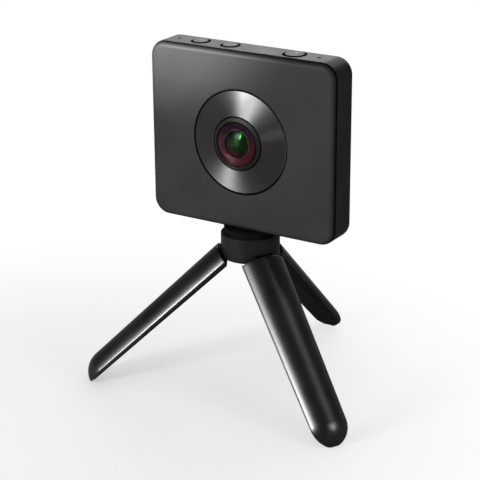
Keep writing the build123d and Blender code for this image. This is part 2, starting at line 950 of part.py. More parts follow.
# Charging socket: a thin shell with a tongue in it
with BuildPart() as usb_socket:
    with BuildSketch(left_plane(usb_length - main_board_left, usb_z)):
        with Locations((-board_rear - usb_thickness / 2, 0)):
            RectangleRounded(usb_thickness, usb_width, usb_thickness / 2 - usb_wall)
    extrude(amount=usb_length)
    with BuildSketch(left_plane(usb_length - main_board_left - usb_wall, usb_z)):
        with Locations((-board_rear - usb_thickness / 2, 0)):
            RectangleRounded(
                usb_thickness - 2 * usb_wall,
                usb_width - 2 * usb_wall,
                usb_thickness / 2 - 2 * usb_wall,
            )
    extrude(amount=usb_length, mode=Mode.SUBTRACT)
    with BuildSketch(left_plane(usb_length - main_board_left - usb_wall, usb_z)):
        with Locations((-board_rear - usb_thickness / 2, 0)):
            Rectangle(usb_tongue, usb_width - 4 * usb_wall)
    extrude(amount=usb_length - usb_wall - usb_tongue_inset)
write(usb_socket, "usb_socket")

card_socket_half = card_width / 2 + fit_gap
with BuildPart() as card_socket:
    socket_right = card_end + card_travel + fit_gap
    slot_back = card_back - fit_gap
    slot_front = card_back + card_thickness + fit_gap
    block(
        (-card_socket_left, board_rear, card_z - card_socket_half - card_socket_wall),
        (
            socket_right + card_socket_wall,
            slot_front + card_socket_wall,
            card_z + card_socket_half + card_socket_wall,
        ),
    )
    block(
        (-card_socket_left - overrun, slot_back, card_z - card_socket_half),
        (socket_right, slot_front, card_z + card_socket_half),
        mode=Mode.SUBTRACT,
    )
write(card_socket, "card_socket")

with BuildPart() as memory_card:
    block(
        (-card_reach, card_back, card_z - card_width / 2),
        (card_end, card_back + card_thickness, card_z + card_width / 2),
    )
    block(
        (card_end - card_notch_length, card_back - overrun, card_z + card_width / 2 - card_notch),
        (card_end + overrun, card_back + card_thickness + overrun, card_z + card_width),
        mode=Mode.SUBTRACT,
    )
write(memory_card, "memory_card")

# Port door with its hinge barrel, pin and seal
with BuildPart() as door:
    with BuildSketch(left_plane(door_inside, (door_bottom + door_top) / 2)):
        door_outline(0)
    extrude(amount=door_thickness)
    block(
        (-case_width, -case_depth, pin_z),
        (0, case_depth, door_bottom - overrun),
        mode=Mode.SUBTRACT,
    )
    with BuildSketch(across(pin_x, pin_z)):
        Circle(door_barrel)
    extrude(amount=door_width / 2, both=True)
    with BuildSketch(across(pin_x, pin_z)):
        Circle(door_pin + seat_gap)
    extrude(amount=door_width, both=True, mode=Mode.SUBTRACT)
    block(
        (-case_width / 2 - overrun, -door_notch_width / 2, door_top - door_notch),
        (door_notch_depth - case_width / 2, door_notch_width / 2, door_top + overrun),
        mode=Mode.SUBTRACT,
    )
write(door, "port_door")

with BuildPart() as door_hinge_pin:
    with BuildSketch(across(pin_x, pin_z)):
        Circle(door_pin)
    extrude(amount=door_width / 2 + door_pin_overhang, both=True)
write(door_hinge_pin, "port_door_pin")

with BuildPart() as port_seal:
    seal_half = port_window_half + port_seal_inset
    seal_length = port_window_high - port_window_low + 2 * port_seal_inset
    with BuildSketch(left_plane(door_inside + port_seal_thickness, (port_window_low + port_window_high) / 2)):
        Rectangle(2 * (seal_half + port_seal_width), seal_length + 2 * port_seal_width)
        Rectangle(2 * seal_half, seal_length, mode=Mode.SUBTRACT)
    extrude(amount=port_seal_thickness)
write(port_seal, "port_seal")

with BuildPart() as battery:
    with BuildSketch(Plane.XY.offset(case_bottom + battery_low)):
        with Locations((battery_left + battery_width / 2, 0)):
            RectangleRounded(battery_width, battery_thickness, battery_corner)
    extrude(amount=battery_top - case_bottom - battery_low)
write(battery, "battery")

# Two leads over the lens chassis, from the battery's top to the main board
with BuildPart() as leads:
    lead_y = board_rear + lead_radius
    for step in (0, 1):
        start_x = battery_left + lead_inset + step * lead_spacing
        end_x = -main_board_right - lead_radius - step * lead_spacing
        level = battery_top + lead_rise + step * lead_spacing
        with BuildLine() as run:
            FilletPolyline(
                (start_x, lead_y, battery_top),
                (start_x, lead_y, level),
                (end_x, lead_y, level),
                (end_x, lead_y, board_high - lead_tail),
                radius=lead_bend,
            )
        with BuildSketch(Plane.XY.offset(battery_top)):
            with Locations((start_x, lead_y)):
                Circle(lead_radius)
        sweep(path=run.wires()[0])
write(leads, "battery_leads")

# Tripod head: a turned housing with a radial slot for each leg's neck
with BuildPart() as housing:
    with BuildSketch(Plane.XY.offset(head_bottom)):
        Circle(head_radius)
    extrude(amount=head_height)
    chamfer(housing.faces().sort_by(Axis.Z)[-1].edges(), head_top_chamfer)
    chamfer(housing.faces().sort_by(Axis.Z)[0].edges(), head_low_chamfer)
    with BuildSketch(Plane.XY.offset(head_bottom)):
        Circle(base_radius + fit_gap)
    extrude(amount=base_top + seat_gap - head_bottom, mode=Mode.SUBTRACT)
    for azimuth in leg_azimuths:
        for inner, outer, roof in (
            (slot_inner, slot_outer, slot_roof),
            (slot_outer - overrun, head_radius + overrun, hinge_height - slot_window_drop),
        ):
            with BuildSketch(Plane.XY.offset(head_bottom)):
                with PolarLocations((inner + outer) / 2, 1, azimuth):
                    Rectangle(outer - inner, 2 * slot_half)
            extrude(amount=roof - head_bottom, mode=Mode.SUBTRACT)
        pin_plane = Plane(
            origin=Vector(hinge_radius, 0, hinge_height).rotate(Axis.Z, azimuth),
            x_dir=Vector(1, 0, 0).rotate(Axis.Z, azimuth),
            z_dir=Vector(0, -1, 0).rotate(Axis.Z, azimuth),
        )
        with BuildSketch(pin_plane):
            Circle(pin_radius + seat_gap)
            with Locations((0, -hinge_drop / 2)):
                Rectangle(2 * (pin_radius + seat_gap), hinge_drop)
        extrude(amount=pin_length / 2 + fit_gap, both=True, mode=Mode.SUBTRACT)
    with BuildSketch(Plane.XY.offset(head_bottom)):
        Circle(stud_spigot + seat_gap)
    extrude(amount=head_height, mode=Mode.SUBTRACT)
    with BuildSketch(Plane.XY.offset(flange_top_z - stud_flange)):
        Circle(stud_flange_radius + fit_gap)
    extrude(amount=head_height, mode=Mode.SUBTRACT)
write(housing, "head_housing")

# Base disc that closes the housing under the hinge pins
with BuildPart() as base:
    with BuildSketch(Plane.XY.offset(head_bottom + base_recess)):
        Circle(base_radius)
        for azimuth in leg_azimuths:
            with PolarLocations(slot_inner + base_radius, 1, azimuth):
                Rectangle(2 * base_radius, 2 * slot_half, mode=Mode.SUBTRACT)
    extrude(amount=base_top - head_bottom - base_recess)
    with BuildSketch(Plane.XY.offset(head_bottom)):
        Circle(base_screw_shank + fit_gap)
    extrude(amount=head_height, mode=Mode.SUBTRACT)
    with BuildSketch(Plane.XY.offset(head_bottom)):
        Circle(base_screw_head + fit_gap)
    extrude(amount=base_recess + base_screw_head_height, mode=Mode.SUBTRACT)
write(base, "head_base")

with BuildPart() as base_screw:
    screw_seat = head_bottom + base_recess + base_screw_head_height
    with BuildSketch(Plane.XY.offset(screw_seat)):
        Circle(base_screw_head)
    extrude(amount=-base_screw_head_height)
    with BuildSketch(Plane.XY.offset(screw_seat)):
        Circle(base_screw_shank)
    extrude(amount=base_screw_length)
    with BuildSketch(Plane.XY.offset(head_bottom)):
        RegularPolygon(base_screw_shank, 6)
    extrude(amount=base_recess + base_screw_head_height / 2, mode=Mode.SUBTRACT)
write(base_screw, "base_screw")

# Tripod screw: a threaded stud, a flange in the housing's top and a spigot down to the base
with BuildPart() as stud:
    with BuildSketch(Plane.XY.offset(base_top + seat_gap)):
        Circle(stud_spigot)
    extrude(amount=flange_top_z - stud_flange - base_top)
    with BuildSketch(Plane.XY.offset(flange_top_z - stud_flange)):
        Circle(stud_flange_radius)
    extrude(amount=stud_flange)
    with BuildSketch(Plane.XY.offset(flange_top_z)):
        Circle(stud_radius)
    extrude(amount=case_bottom + stud_reach - flange_top_z)
    chamfer(stud.faces().sort_by(Axis.Z)[-1].edges(), head_low_chamfer)
    with BuildSketch(Plane.XY.offset(base_top)):
        Circle(base_screw_shank + seat_gap)
    extrude(amount=screw_seat + base_screw_length + fit_gap - base_top, mode=Mode.SUBTRACT)
write(stud, "tripod_screw")

with BuildPart() as pad:
    with BuildSketch(Plane.XY.offset(head_top)):
        Circle(pad_radius)
        Circle(stud_radius + moving_gap, mode=Mode.SUBTRACT)
    extrude(amount=pad_thickness)
write(pad, "head_pad")


def hinge_plane(azimuth, distance):
    """A plane across a leg's hinge pin, at a distance along the pin from its middle."""
    return Plane(
        origin=Vector(hinge_radius, distance, hinge_height).rotate(Axis.Z, azimuth),
        x_dir=Vector(1, 0, 0).rotate(Axis.Z, azimuth),
        z_dir=Vector(0, -1, 0).rotate(Axis.Z, azimuth),
    )


with BuildPart() as hinge_pins:
    for azimuth in leg_azimuths:
        with BuildSketch(hinge_plane(azimuth, 0)):
            Circle(pin_radius)
        extrude(amount=pin_length / 2, both=True)
write(hinge_pins, "hinge_pins")

with BuildPart() as washers:
    for azimuth in leg_azimuths:
        for distance in (slot_half, washer_thickness - slot_half):
            with BuildSketch(hinge_plane(azimuth, distance)):
                Circle(washer_radius)
                Circle(pin_radius + seat_gap, mode=Mode.SUBTRACT)
            extrude(amount=washer_thickness)
write(washers, "hinge_washers")

# Legs: an outer shell, and a core with the flat inner face, the neck and the hinge eye
for name, azimuth in zip(leg_names, leg_azimuths):
    middle = stick_plane(azimuth, 0)
    stick = Axis(middle.origin, middle.y_dir)
    with BuildPart() as shell:
        leg_blank(azimuth, leg_half_angle, leg_top_drop, 0)
        with BuildPart(mode=Mode.PRIVATE) as hollow:
            leg_blank(azimuth, leg_half_angle + leg_core_recess_angle, leg_top_drop - overrun, leg_wall)
            with BuildSketch(stick_plane(azimuth, -leg_half_angle - leg_core_recess_angle)):
                with BuildLine():
                    Polyline(
                        (0, overrun - leg_top_drop),
                        (leg_top_radius - leg_mouth_wall, overrun - leg_top_drop),
                        (leg_top_radius - leg_mouth_wall, -leg_top_drop),
                        (leg_top_radius - leg_wall, -leg_top_drop - leg_mouth_depth),
                        (0, -leg_top_drop - leg_mouth_depth),
                        close=True,
                    )
                make_face()
            revolve(axis=stick, revolution_arc=2 * (leg_half_angle + leg_core_recess_angle))
        add(hollow.part, mode=Mode.SUBTRACT)
        trim_leg(azimuth)
    write(shell, f"leg_shell_{name}")

    with BuildPart() as core:
        leg_blank(azimuth, leg_half_angle - leg_core_recess_angle, core_top, leg_wall + seat_gap)
        cavity_low = leg_dome_centre
        cavity_high = core_top + leg_plug
        with BuildSketch(
            Plane(
                origin=middle.origin - middle.y_dir * cavity_low,
                x_dir=middle.x_dir,
                z_dir=middle.y_dir,
            )
        ):
            with Locations((leg_flat + leg_core_floor + leg_top_radius / 2, 0)):
                Rectangle(leg_top_radius, leg_cavity_width)
        extrude(amount=cavity_low - cavity_high, mode=Mode.SUBTRACT)
        with BuildSketch(middle):
            with Locations((hinge_radius, 0)):
                Circle(eye_radius)
            with BuildLine():
                Polyline(
                    (hinge_radius - neck_inner, 0),
                    (hinge_radius + neck_outer, 0),
                    (hinge_radius + neck_outer, -core_top - overrun),
                    (hinge_radius - neck_inner, -core_top - overrun),
                    close=True,
                )
            make_face()
        extrude(amount=eye_width / 2, both=True)
        with BuildSketch(middle):
            with Locations((hinge_radius, 0)):
                Circle(pin_radius + seat_gap)
        extrude(amount=eye_width, both=True, mode=Mode.SUBTRACT)
        trim_leg(azimuth)
    write(core, f"leg_core_{name}")
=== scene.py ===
import json
import math
import bpy
import bmesh
from mathutils import Matrix, Vector


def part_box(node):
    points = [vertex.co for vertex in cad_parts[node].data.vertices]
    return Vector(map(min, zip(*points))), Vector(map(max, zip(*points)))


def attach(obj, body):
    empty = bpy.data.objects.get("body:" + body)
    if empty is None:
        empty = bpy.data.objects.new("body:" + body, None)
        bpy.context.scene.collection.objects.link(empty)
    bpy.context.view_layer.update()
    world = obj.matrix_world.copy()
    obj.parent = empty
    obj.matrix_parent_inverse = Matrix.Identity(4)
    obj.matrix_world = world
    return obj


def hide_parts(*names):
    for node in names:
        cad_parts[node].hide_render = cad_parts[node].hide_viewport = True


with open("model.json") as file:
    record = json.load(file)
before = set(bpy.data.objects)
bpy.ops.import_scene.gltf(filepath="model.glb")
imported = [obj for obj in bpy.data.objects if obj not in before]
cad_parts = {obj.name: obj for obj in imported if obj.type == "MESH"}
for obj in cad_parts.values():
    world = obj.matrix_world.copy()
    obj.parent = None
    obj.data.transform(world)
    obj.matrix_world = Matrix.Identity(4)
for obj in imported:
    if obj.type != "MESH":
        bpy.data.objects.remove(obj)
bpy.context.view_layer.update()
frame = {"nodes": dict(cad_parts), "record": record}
scene = bpy.context.scene
nodes = frame["nodes"]
MM = 0.001

lens_low, lens_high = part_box("front_lens_ring")
lens_centre = (lens_low + lens_high) / 2
lens_centre.y = 0.0


# ---- node helpers ----

NOISE_ROUGHNESS = 0.55
NOISE_LOW = 0.3
NOISE_HIGH = 0.7


class Graph:
    """The empty node tree of a material or world, and short calls for the nodes that fill it."""

    def __init__(self, owner):
        owner.use_nodes = True
        self.owner = owner
        self.tree = owner.node_tree
        self.tree.nodes.clear()
        self.place = self.add("ShaderNodeTexCoord").outputs["Object"]

    def join(self, a, b):
        self.tree.links.new(a, b)

    def feed(self, socket, value):
        """Link what another node gives, or set what is the same all over."""
        if isinstance(value, bpy.types.NodeSocket):
            self.join(value, socket)
        else:
            socket.default_value = value

    def add(self, kind, **inputs):
        node = self.tree.nodes.new(kind)
        for key, value in inputs.items():
            self.feed(node.inputs[key.replace("_", " ")], value)
        return node

    def math(self, operation, a, b=0.0):
        node = self.add("ShaderNodeMath")
        node.operation = operation
        self.feed(node.inputs[0], a)
        self.feed(node.inputs[1], b)
        return node.outputs[0]

    def total(self, a, b, weight):
        """a plus weight times b."""
        return self.math("ADD", a, self.math("MULTIPLY", b, weight))

    def vector(self, operation, a, b=None):
        """The outputs of a vector math node: Vector first, and Value."""
        node = self.add("ShaderNodeVectorMath")
        node.operation = operation
        self.feed(node.inputs[0], a)
        if b is not None:
            self.feed(node.inputs[1], b)
        return node.outputs

    def part(self, source, axis):
        """The X, Y or Z part of a point or direction."""
        return self.add("ShaderNodeSeparateXYZ", Vector=source).outputs[axis]

    def along(self, source, direction):
        """How far a point or direction lies along another direction."""
        return self.vector("DOT_PRODUCT", source, direction)["Value"]

    def radius(self, centre, axis):
        """Distance from a line through centre along one of the X, Y, Z axes."""
        away = [0.0 if a == axis else 1.0 for a in "XYZ"]
        flat = self.vector("MULTIPLY", self.vector("SUBTRACT", self.place, centre)[0], away)[0]
        return self.vector("LENGTH", flat)["Value"]

    def noise(self, size, detail=3.0, stretch=(1, 1, 1)):
        """Noise whose lumps are about size metres across."""
        at = self.vector("MULTIPLY", self.place, [s / size for s in stretch])[0]
        return self.add("ShaderNodeTexNoise", Vector=at, Scale=1.0, Detail=detail,
                        Roughness=NOISE_ROUGHNESS).outputs[0]

    def cells(self, size):
        """Distance from the middle of the nearest cell, of cells about size metres across."""
        at = self.vector("MULTIPLY", self.place, [1 / size] * 3)[0]
        return self.add("ShaderNodeTexVoronoi", Vector=at, Scale=1.0).outputs["Distance"]

    def ramp(self, value, low, high, to_low=0.0, to_high=1.0):
        """A smooth passage from to_low to to_high while value goes from low to high."""
        node = self.add("ShaderNodeMapRange")
        node.interpolation_type = "SMOOTHSTEP"
        for key, part in (("Value", value), ("From Min", low), ("From Max", high),
                          ("To Min", to_low), ("To Max", to_high)):
            self.feed(node.inputs[key], part)
        return node.outputs[0]

    def spread(self, noise, to_low=0.0, to_high=1.0):
        """A ramp over the values that a noise takes most of the time."""
        return self.ramp(noise, NOISE_LOW, NOISE_HIGH, to_low, to_high)

    def blend(self, share, first, second):
        """The first colour where share is 0, and the second where it is 1."""
        node = self.add("ShaderNodeMix")
        node.data_type = "RGBA"
        sockets = [s for s in node.inputs if s.type == "RGBA"]
        self.feed(node.inputs[0], share)
        self.feed(sockets[0], first)
        self.feed(sockets[1], second)
        return [s for s in node.outputs if s.type == "RGBA"][0]

    def mixed(self, share, first, second, target):
        """Join two shaders by share, and join the result to the target socket."""
        node = self.add("ShaderNodeMixShader")
        for socket, source in zip(node.inputs, (share, first, second)):
            self.join(source, socket)
        self.join(node.outputs[0], target)

    def bump(self, height, depth, edge=0.0):
        """Relief of that depth, over corners that look rounded to the radius edge."""
        node = self.add("ShaderNodeBump", Height=height, Strength=1.0, Distance=depth)
        if edge:
            bevel = self.add("ShaderNodeBevel", Radius=edge)
            self.join(bevel.outputs[0], node.inputs["Normal"])
        return node.outputs[0]

    def fill(self, colour, roughness, normal, **constants):
        """The shader of a material, and the material itself as the result."""
        self.output = self.add("ShaderNodeOutputMaterial")
        self.shader = self.add("ShaderNodeBsdfPrincipled")
        self.join(self.shader.outputs[0], self.output.inputs["Surface"])
        self.feed(self.shader.inputs["Base Color"], colour)
        self.feed(self.shader.inputs["Roughness"], roughness)
        self.join(normal, self.shader.inputs["Normal"])
        for key, value in constants.items():
            self.shader.inputs[key.replace("_", " ")].default_value = value
        return self.owner

    def gloss(self, level):
        """Give the reflection a strength that isn't the same all over."""
        self.feed(self.shader.inputs["Specular IOR Level"], level)


def grey(value):
    return (value, value, value, 1.0)


def tone(r, g, b):
    return (r, g, b, 1.0)


def new_graph(name):
    return Graph(bpy.data.materials.new(name))


# ---- kinds of surface ----
# dark and light are the two colours that a surface drifts between, and rough the two ends of its
# roughness. mottle, grain, width and pitch are the sizes of its texture, and depth is its relief.

# Black that stands for the shade in narrow gaps and seams: painted shade.
PAINTED_GAP_SHADE = grey(0.0005)
STREAK_STRETCH = 0.03
ACROSS_THE_TURNING = 0.25

FACE_GAP_INSIDE = 19.45 * MM
FACE_GAP_OUTSIDE = 20.0 * MM
FACE_SEAM = 5.85 * MM
FACE_START = 6.99 * MM
FACE_SIDE_SHADE = 0.35
FACE_SIDE_GLOSS = 0.04
FACE_GLOSS = 0.20

BUTTONS = ("power_button", "mode_button", "shutter_button")
BUTTON_GAP = 0.18 * MM
BUTTON_GAP_BASE = 120 * MM
# Black that stands for the shade on a button's side: painted shade.
BUTTON_SIDE_PAINTED_SHADE = grey(0.001)
SATIN_GLOSS = 0.35

COATED_GLASS_CLEAR = 0.97
COATED_GLASS_IOR = 1.52
INK_GLOSS = 0.1


def plain(name, dark, light, rough, mottle, grain, depth, edge=0.0, **constants):
    """Paint, plastic, cast metal or glass: a slow drift, and fine lumps that stand depth proud."""
    g = new_graph(name)
    drift = g.noise(mottle, detail=4.0)
    fine = g.noise(grain, detail=2.0)
    return g.fill(g.blend(g.spread(drift), dark, light),
                  g.ramp(g.total(drift, fine, 0.4), 0.4, 1.0, *rough),
                  g.bump(fine, depth, edge), **constants)


def brushed(name, dark, light, rough, axis, width, depth):
    """Metal drawn along one axis: long thin streaks in colour, roughness and height."""
    g = new_graph(name)
    stretch = [STREAK_STRETCH if a == axis else 1.0 for a in "XYZ"]
    streak = g.noise(width, detail=4.0, stretch=stretch)
    return g.fill(g.blend(g.spread(streak), dark, light), g.spread(streak, *rough),
                  g.bump(streak, depth), Metallic=1.0)


def turned(name, centre, axis, dark, light, rough, pitch, depth, edge=0.0, anisotropic=0.0):
    """Metal turned on a lathe: fine rings about the axis, with the highlight drawn across them."""
    g = new_graph(name)
    away = g.math("DIVIDE", g.radius(centre, axis), pitch)
    rings = g.add("ShaderNodeTexNoise")
    rings.noise_dimensions = "1D"
    for key, value in (("W", away), ("Scale", 1.0), ("Detail", 4.0)):
        g.feed(rings.inputs[key], value)
    lines = rings.outputs[0]
    drift = g.noise(4 * MM)
    colour = g.blend(g.ramp(g.total(lines, drift, 0.5), 0.5, 1.0), dark, light)
    material = g.fill(colour, g.spread(lines, *rough), g.bump(lines, depth, edge), Metallic=1.0,
                      Anisotropic=anisotropic, Anisotropic_Rotation=ACROSS_THE_TURNING)
    if anisotropic:
        tangent = g.add("ShaderNodeTangent")
        tangent.direction_type = "RADIAL"
        tangent.axis = axis
        g.join(tangent.outputs[0], g.shader.inputs["Tangent"])
    return material


def face_paint(name, dark, light, rough):
    """Fine-grained soft paint. Painted shade makes it black in the narrow gap round the trim ring
    and in the seam at the cover's side, and darker from there up to the face, where it is also
    duller."""
    g = new_graph(name)
    drift = g.noise(16 * MM, detail=4.0)
    grain = g.noise(0.16 * MM, detail=2.0)
    speckle = g.cells(0.30 * MM)
    away = g.radius(lens_centre, "Y")
    # Painted shade: black in the gap round the trim ring and in the seam at the side.
    ring_gap = g.math("MULTIPLY", g.math("GREATER_THAN", away, FACE_GAP_INSIDE),
                      g.math("LESS_THAN", away, FACE_GAP_OUTSIDE))
    height = g.math("ABSOLUTE", g.part(g.place, "Y"))
    gap = g.math("MAXIMUM", ring_gap, g.math("LESS_THAN", height, FACE_SEAM))
    face = g.blend(g.ramp(g.total(drift, speckle, 0.25), 0.35, 0.85), dark, light)
    # Painted shade: the side of the cover is darker towards the seam.
    side = grey(FACE_SIDE_SHADE * dark[0])
    colour = g.blend(g.ramp(height, FACE_SEAM, FACE_START), side, face)
    g.fill(g.blend(gap, colour, PAINTED_GAP_SHADE), g.ramp(g.math("ADD", drift, grain), 0.7, 1.3, *rough),
           g.bump(g.total(grain, speckle, 0.6), 0.010 * MM))
    g.gloss(g.ramp(height, FACE_SEAM, FACE_START, FACE_SIDE_GLOSS, FACE_GLOSS))
    return g.owner


def button_paint(name, dark, light, rough):
    """A satin top, and a side painted black as painted shade, which shows as a crescent."""
    g = new_graph(name)
    grain = g.noise(0.10 * MM)
    drift = g.noise(2 * MM)
    facing = g.add("ShaderNodeNewGeometry").outputs["True Normal"]
    # Painted shade: where the button faces sideways it is black.
    top = g.ramp(g.part(facing, "Z"), 0.35, 0.75)
    g.fill(g.blend(top, BUTTON_SIDE_PAINTED_SHADE, g.blend(drift, dark, light)), g.spread(drift, *rough),
           g.bump(grain, 0.003 * MM))
    g.gloss(g.ramp(top, 0.0, 1.0, 0.0, SATIN_GLOSS))
    return g.owner


def frame_paint(name, dark, light, rough):
    """Satin paint, with painted shade: black in the narrow gap round each button."""
    g = new_graph(name)
    drift = g.noise(9 * MM, detail=4.0)
    grain = g.noise(0.15 * MM, detail=2.0)
    # Painted shade: black in a ring round each button, on the top only.
    gap = 0.0
    for button in BUTTONS:
        low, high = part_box(button)
        edge = (high.x - low.x) / 2 + BUTTON_GAP
        near = g.math("LESS_THAN", g.radius((low + high) / 2, "Z"), edge)
        gap = g.math("MAXIMUM", near, gap)
    on_top = g.math("GREATER_THAN", g.part(g.place, "Z"), BUTTON_GAP_BASE)
    gap = g.math("MULTIPLY", gap, on_top)
    g.fill(g.blend(gap, g.blend(g.spread(drift), dark, light), PAINTED_GAP_SHADE),
           g.ramp(g.total(drift, grain, 0.4), 0.4, 1.0, *rough),
           g.bump(grain, 0.005 * MM, 0.15 * MM))
    g.gloss(g.ramp(gap, 0.0, 1.0, SATIN_GLOSS, 0.0))
    return g.owner


def coated_glass(name, tint, level, rough):
    """Clear glass whose thin coating colours what it reflects."""
    g = new_graph(name)
    drift = g.noise(3 * MM)
    colour = g.blend(drift, grey(COATED_GLASS_CLEAR), grey(COATED_GLASS_CLEAR + 0.03))
    return g.fill(colour, g.spread(drift, *rough), g.bump(g.noise(0.4 * MM), 0.0001 * MM),
                  Transmission_Weight=1.0, IOR=COATED_GLASS_IOR,
                  Specular_IOR_Level=level, Specular_Tint=tint)


def ink_with_painted_reflection(name, upper, lower):
    """Dark paint on the back of the front glass, with a painted reflection on it, which goes from
    one colour to the other down the lens."""
    g = new_graph(name)
    height = g.part(g.vector("SUBTRACT", g.place, lens_centre)[0], "Z")
    fall = g.total(g.math("MULTIPLY", height, -1.0), g.noise(5 * MM), 2 * MM)
    return g.fill(g.blend(g.ramp(fall, -5 * MM, 9 * MM), upper, lower),
                  g.spread(g.noise(1 * MM), 0.25, 0.35),
                  g.bump(g.noise(0.3 * MM), 0.001 * MM), Specular_IOR_Level=INK_GLOSS)


# ---- materials, one for each slot of the record ----

materials = {
    "case_face": face_paint("case_face", grey(0.026), grey(0.033), rough=(0.46, 0.56)),
    "case_frame": frame_paint("case_frame", grey(0.008), grey(0.012), rough=(0.36, 0.44)),
    "trim_ring": turned(
        "trim_ring", lens_centre, "Y", grey(0.19), grey(0.24), rough=(0.42, 0.48),
        pitch=0.12 * MM, depth=0.0015 * MM, edge=0.08 * MM, anisotropic=1.0),
    "bezel": turned(
        "bezel", lens_centre, "Y", tone(0.085, 0.075, 0.077), tone(0.11, 0.098, 0.10),
        rough=(0.38, 0.46), pitch=0.08 * MM, depth=0.001 * MM, anisotropic=0.5),
    "front_glass": plain(
        "front_glass", tone(0.97, 0.93, 0.96), tone(1.0, 0.98, 1.0), rough=(0.0, 0.03),
        mottle=6 * MM, grain=0.5 * MM, depth=0.0002 * MM, Transmission_Weight=1.0, IOR=1.52),
    "inner_glass": plain(
        "inner_glass", tone(0.10, 0.30, 0.11), tone(0.14, 0.38, 0.15), rough=(0.0, 0.03),
        mottle=5 * MM, grain=0.5 * MM, depth=0.0002 * MM, Transmission_Weight=1.0, IOR=1.6,
        Specular_IOR_Level=0.4, Specular_Tint=tone(0.3, 1.0, 0.3)),
    "black_plastic": plain(
        "black_plastic", grey(0.005), grey(0.008), rough=(0.50, 0.62),
        mottle=3 * MM, grain=0.12 * MM, depth=0.004 * MM, Specular_IOR_Level=0.2),
    "sensor": plain(
        "sensor", tone(0.03, 0.05, 0.07), tone(0.08, 0.07, 0.10), rough=(0.08, 0.15),
        mottle=2 * MM, grain=0.05 * MM, depth=0.001 * MM, Metallic=0.6),
    "circuit_board": plain(
        "circuit_board", tone(0.008, 0.030, 0.018), tone(0.014, 0.050, 0.030),
        rough=(0.30, 0.45), mottle=1.5 * MM, grain=0.3 * MM, depth=0.010 * MM),
    "flex": plain(
        "flex", tone(0.22, 0.10, 0.03), tone(0.30, 0.15, 0.05), rough=(0.35, 0.45),
        mottle=2 * MM, grain=0.2 * MM, depth=0.003 * MM),
    "steel": brushed(
        "steel", grey(0.42), grey(0.55), rough=(0.25, 0.38),
        axis="Z", width=0.08 * MM, depth=0.002 * MM),
    "rubber": plain(
        "rubber", grey(0.0025), grey(0.004), rough=(0.70, 0.85),
        mottle=5 * MM, grain=0.18 * MM, depth=0.010 * MM, Specular_IOR_Level=0.15),
    "cast_light_metal": plain(
        "cast_light_metal", grey(0.30), grey(0.40), rough=(0.42, 0.55),
        mottle=4 * MM, grain=0.25 * MM, depth=0.010 * MM, Metallic=1.0),
    "button": button_paint("button", grey(0.010), grey(0.014), rough=(0.34, 0.42)),
    "component_black": plain(
        "component_black", grey(0.014), grey(0.022), rough=(0.40, 0.50),
        mottle=1 * MM, grain=0.08 * MM, depth=0.003 * MM),
    "tinned_steel": brushed(
        "tinned_steel", grey(0.50), grey(0.62), rough=(0.30, 0.42),
        axis="X", width=0.10 * MM, depth=0.002 * MM),
    "graphite": plain(
        "graphite", grey(0.035), grey(0.060), rough=(0.40, 0.55),
        mottle=2 * MM, grain=0.10 * MM, depth=0.004 * MM, Metallic=0.5),
    "aerial_foil": plain(
        "aerial_foil", tone(0.55, 0.36, 0.14), tone(0.70, 0.48, 0.20), rough=(0.25, 0.35),
        mottle=1 * MM, grain=0.1 * MM, depth=0.002 * MM, Metallic=1.0),
    "battery_wrap": plain(
        "battery_wrap", tone(0.05, 0.06, 0.08), tone(0.07, 0.08, 0.10), rough=(0.35, 0.45),
        mottle=6 * MM, grain=0.6 * MM, depth=0.008 * MM),
    "wire_sleeve": plain(
        "wire_sleeve", tone(0.30, 0.02, 0.02), tone(0.38, 0.03, 0.03), rough=(0.40, 0.50),
        mottle=2 * MM, grain=0.2 * MM, depth=0.004 * MM),
    "bush_metal": turned(
        "bush_metal", (0, 0, 0), "Z", tone(0.42, 0.33, 0.18), tone(0.55, 0.43, 0.24),
        rough=(0.25, 0.35), pitch=0.10 * MM, depth=0.002 * MM),
    "head_metal": plain(
        "head_metal", grey(0.007), grey(0.010), rough=(0.36, 0.44),
        mottle=5 * MM, grain=0.10 * MM, depth=0.004 * MM, edge=0.15 * MM),
    "leg_shell": plain(
        "leg_shell", grey(0.13), grey(0.16), rough=(0.30, 0.36),
        mottle=12 * MM, grain=0.35 * MM, depth=0.018 * MM, edge=0.15 * MM, Metallic=1.0),
}

dome_outside = coated_glass("dome_outside", tone(0.05, 0.035, 0.06), 0.04, rough=(0.10, 0.15))
dome_hollow = coated_glass("dome_hollow", tone(0.35, 1.0, 0.20), 0.6, rough=(0.17, 0.22))
# The ink's colours are a painted reflection, purple above and wine red below.
dome_ink_and_painted_reflection = ink_with_painted_reflection("dome_ink_and_painted_reflection", tone(0.070, 0.030, 0.060), tone(0.20, 0.012, 0.034))
ring_polish = plain(
    "ring_polish", grey(0.42), grey(0.50), rough=(0.18, 0.24),
    mottle=3 * MM, grain=0.05 * MM, depth=0.0005 * MM, Metallic=1.0)
mark_paint = plain(
    "mark_paint", tone(0.55, 0.10, 0.12), tone(0.68, 0.17, 0.19), rough=(0.25, 0.35),
    mottle=0.4 * MM, grain=0.05 * MM, depth=0.001 * MM)
dome_ground = plain(
    "dome_ground", grey(0.16), grey(0.22), rough=(0.6, 0.8),
    mottle=1 * MM, grain=0.05 * MM, depth=0.003 * MM)

slots = {s["node"]: s["material_slot"] for s in frame["record"]["subparts"]}
for name, node in nodes.items():
    node.data.materials.clear()
    node.data.materials.append(materials[slots[name]])


# ---- shape helpers ----

def new_piece(name, form):
    """An object in the scene that holds the form."""
    mesh = bpy.data.meshes.new(name)
    form.to_mesh(mesh)
    form.free()
    piece = bpy.data.objects.new(name, mesh)
    scene.collection.objects.link(piece)
    return piece


